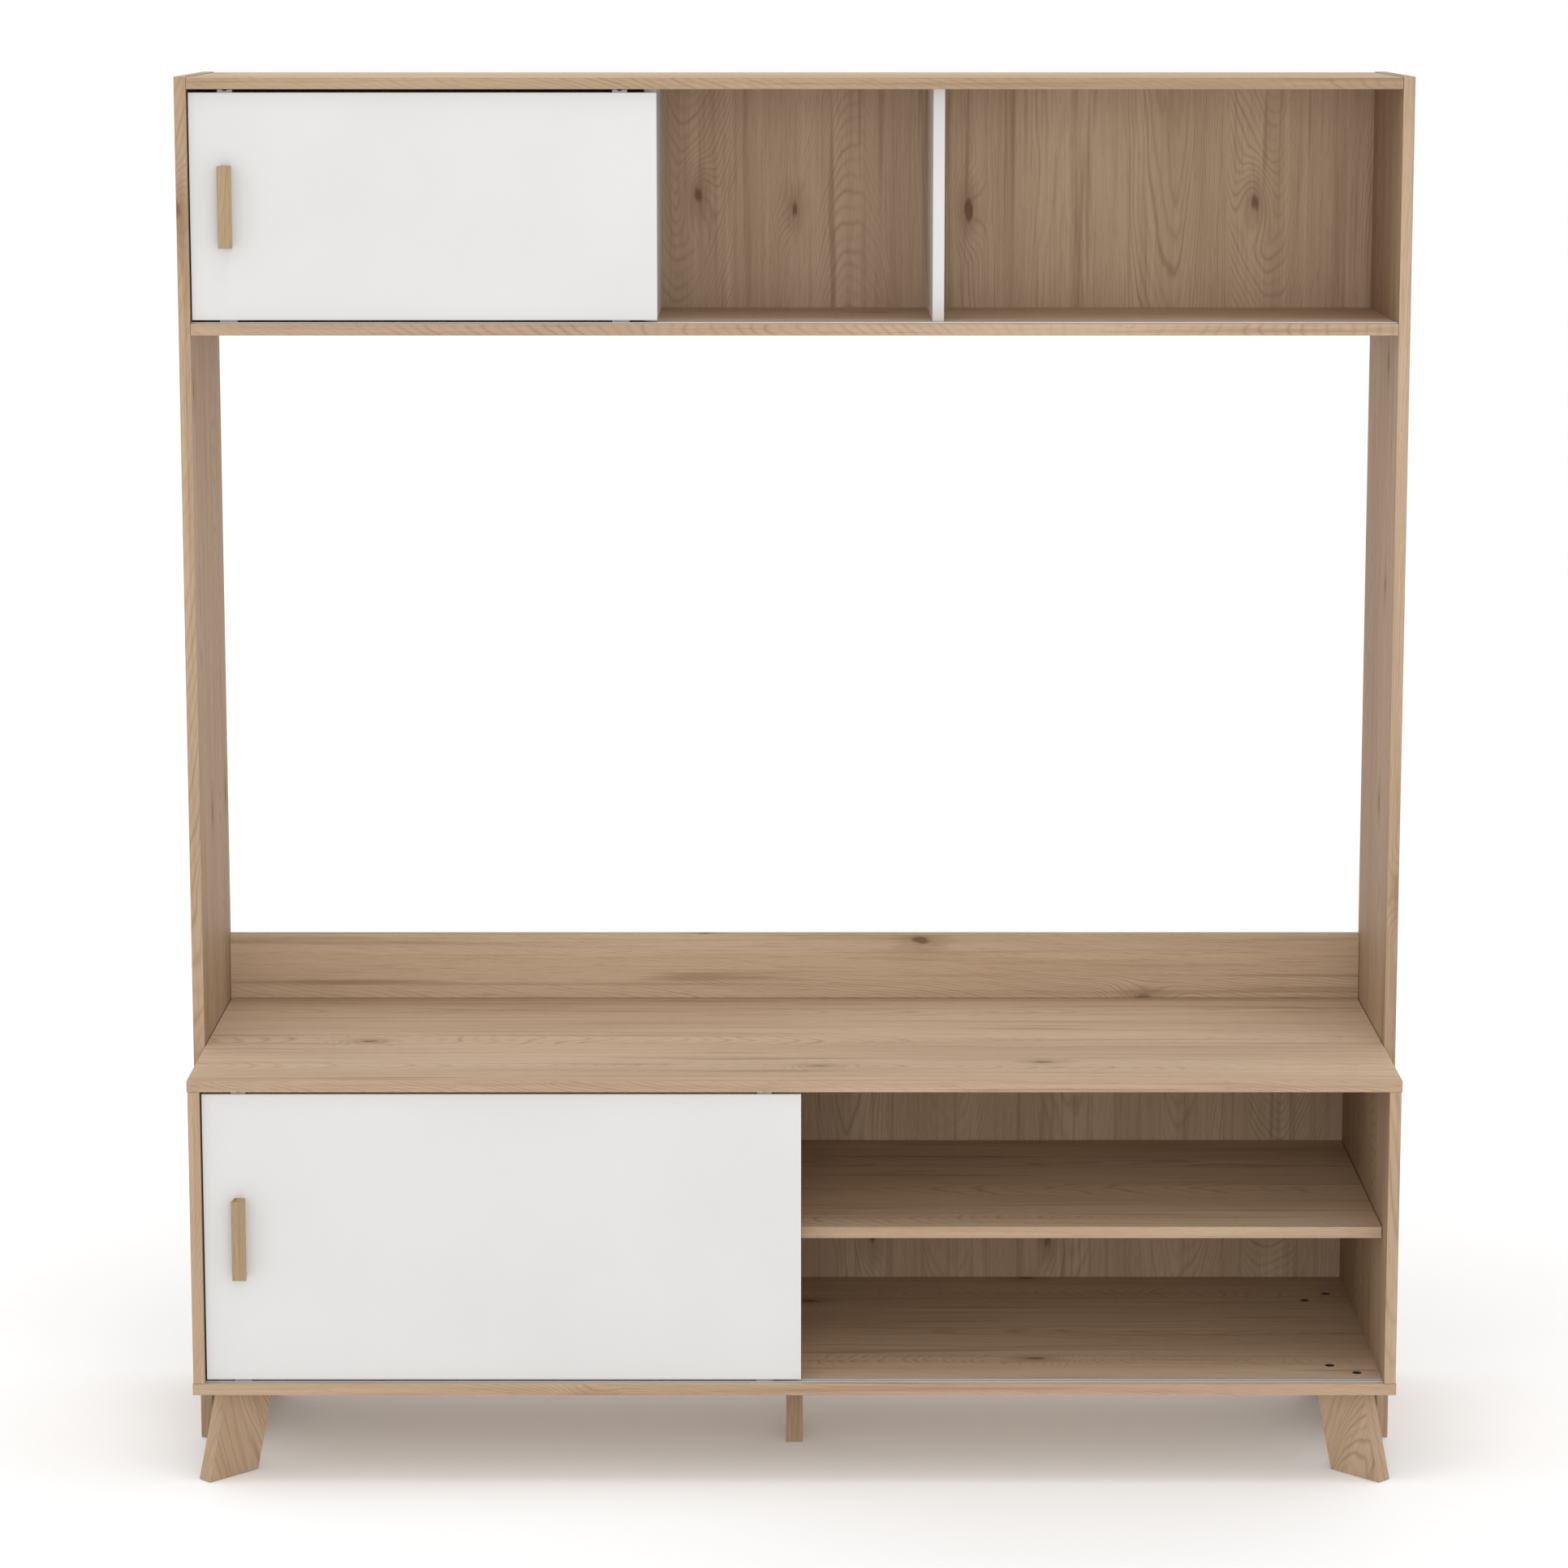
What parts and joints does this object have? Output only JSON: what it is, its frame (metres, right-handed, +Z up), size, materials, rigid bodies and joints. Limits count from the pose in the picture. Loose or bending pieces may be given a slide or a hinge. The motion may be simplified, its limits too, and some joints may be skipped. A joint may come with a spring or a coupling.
{
  "type": "tv stand with doors",
  "caption": "Media wall: a low bench on slanted legs between tall uprights that carry a shallow top cabinet, with a sliding door on each level.",
  "frame": {"origin": "middle of the footprint, on the ground", "axes": "+Z up, -Y is the front with the doors, +X to the right seen from the front"},
  "size_m": [1.588, 0.5124, 1.806],
  "materials": {
    "wood_decor": "light walnut decor melamine board, matt, with a fine pressed pore",
    "white_decor": "white melamine board, matt",
    "back_board": "hardboard, walnut decor on the face and raw brown behind",
    "aluminium": "anodised, satin",
    "grey_plastic": "moulded, satin",
    "black_plastic": "moulded, satin",
    "steel": "zinc plated"
  },
  "bodies": {
    "cabinet": {"bench_back": "back_board", "bench_bottom": "wood_decor", "bench_divider": "wood_decor", "bench_shelf": "wood_decor", "bench_side_left": "wood_decor", "bench_side_right": "wood_decor", "bench_top": "wood_decor", "bench_track_bottom": "aluminium", "bench_track_top": "aluminium", "hutch_back": "back_board", "hutch_bottom": "wood_decor", "hutch_divider_left": "white_decor", "hutch_divider_right": "white_decor", "hutch_top": "wood_decor", "hutch_track_bottom": "aluminium", "hutch_track_top": "aluminium", "leg_front_left": "wood_decor", "leg_front_left_screw_1": "steel", "leg_front_left_screw_2": "steel", "leg_front_right": "wood_decor", "leg_front_right_screw_1": "steel", "leg_front_right_screw_2": "steel", "leg_middle": "wood_decor", "leg_rear_left": "wood_decor", "leg_rear_left_screw_1": "steel", "leg_rear_left_screw_2": "steel", "leg_rear_right": "wood_decor", "leg_rear_right_screw_1": "steel", "leg_rear_right_screw_2": "steel", "rear_rail": "wood_decor", "shelf_pin_front_left": "steel", "shelf_pin_front_right": "steel", "shelf_pin_rear_left": "steel", "shelf_pin_rear_right": "steel", "upright_left": "wood_decor", "upright_right": "wood_decor"},
    "bench_door": {"bench_door_handle": "wood_decor", "bench_door_panel": "white_decor", "bench_guide_housing_left": "grey_plastic", "bench_guide_housing_right": "grey_plastic", "bench_handle_screw_1": "steel", "bench_handle_screw_2": "steel", "bench_roller_housing_left": "grey_plastic", "bench_roller_housing_right": "grey_plastic"},
    "bench_pin_left": {"bench_guide_pin_left": "black_plastic"},
    "bench_pin_right": {"bench_guide_pin_right": "black_plastic"},
    "bench_wheel_left": {"bench_roller_wheel_left": "black_plastic"},
    "bench_wheel_right": {"bench_roller_wheel_right": "black_plastic"},
    "hutch_door": {"hutch_door_handle": "wood_decor", "hutch_door_panel": "white_decor", "hutch_guide_housing_left": "grey_plastic", "hutch_guide_housing_right": "grey_plastic", "hutch_handle_screw_1": "steel", "hutch_handle_screw_2": "steel", "hutch_roller_housing_left": "grey_plastic", "hutch_roller_housing_right": "grey_plastic"},
    "hutch_pin_left": {"hutch_guide_pin_left": "black_plastic"},
    "hutch_pin_right": {"hutch_guide_pin_right": "black_plastic"},
    "hutch_wheel_left": {"hutch_roller_wheel_left": "black_plastic"},
    "hutch_wheel_right": {"hutch_roller_wheel_right": "black_plastic"}
  },
  "joints": [
    {"name": "bench_door_slide", "type": "slide", "parent": "cabinet", "child": "bench_door", "axis": [1, 0, 0], "range_m": [0, 0.7516]},
    {"name": "bench_wheel_left_roll", "type": "hinge", "parent": "bench_door", "child": "bench_wheel_left", "pos_m": [-0.713, -0.22965, 0.1399], "axis": [0, 1, 0], "range_deg": [-10, 4795]},
    {"name": "bench_guide_pin_left_press", "type": "slide", "parent": "bench_door", "child": "bench_pin_left", "axis": [0, 0, -1], "range_m": [0, 0.005], "stiffness_N_per_m": 300, "springref_m": -0.002},
    {"name": "bench_wheel_right_roll", "type": "hinge", "parent": "bench_door", "child": "bench_wheel_right", "pos_m": [-0.0386, -0.22965, 0.1399], "axis": [0, 1, 0], "range_deg": [-10, 4795]},
    {"name": "bench_guide_pin_right_press", "type": "slide", "parent": "bench_door", "child": "bench_pin_right", "axis": [0, 0, -1], "range_m": [0, 0.005], "stiffness_N_per_m": 300, "springref_m": -0.002},
    {"name": "hutch_door_slide", "type": "slide", "parent": "cabinet", "child": "hutch_door", "axis": [1, 0, 0], "range_m": [0, 0.954]},
    {"name": "hutch_wheel_left_roll", "type": "hinge", "parent": "hutch_door", "child": "hutch_wheel_left", "pos_m": [-0.73, -0.03265, 1.4946], "axis": [0, 1, 0], "range_deg": [-10, 6083]},
    {"name": "hutch_guide_pin_left_press", "type": "slide", "parent": "hutch_door", "child": "hutch_pin_left", "axis": [0, 0, -1], "range_m": [0, 0.005], "stiffness_N_per_m": 300, "springref_m": -0.002},
    {"name": "hutch_wheel_right_roll", "type": "hinge", "parent": "hutch_door", "child": "hutch_wheel_right", "pos_m": [-0.224, -0.03265, 1.4946], "axis": [0, 1, 0], "range_deg": [-10, 6083]},
    {"name": "hutch_guide_pin_right_press", "type": "slide", "parent": "hutch_door", "child": "hutch_pin_right", "axis": [0, 0, -1], "range_m": [0, 0.005], "stiffness_N_per_m": 300, "springref_m": -0.002}
  ],
  "couplings": [
    {"joint": "bench_wheel_left_roll", "follows": "bench_door_slide", "rad_per_m": 111.11},
    {"joint": "bench_wheel_right_roll", "follows": "bench_door_slide", "rad_per_m": 111.11},
    {"joint": "hutch_wheel_left_roll", "follows": "hutch_door_slide", "rad_per_m": 111.11},
    {"joint": "hutch_wheel_right_roll", "follows": "hutch_door_slide", "rad_per_m": 111.11}
  ]
}
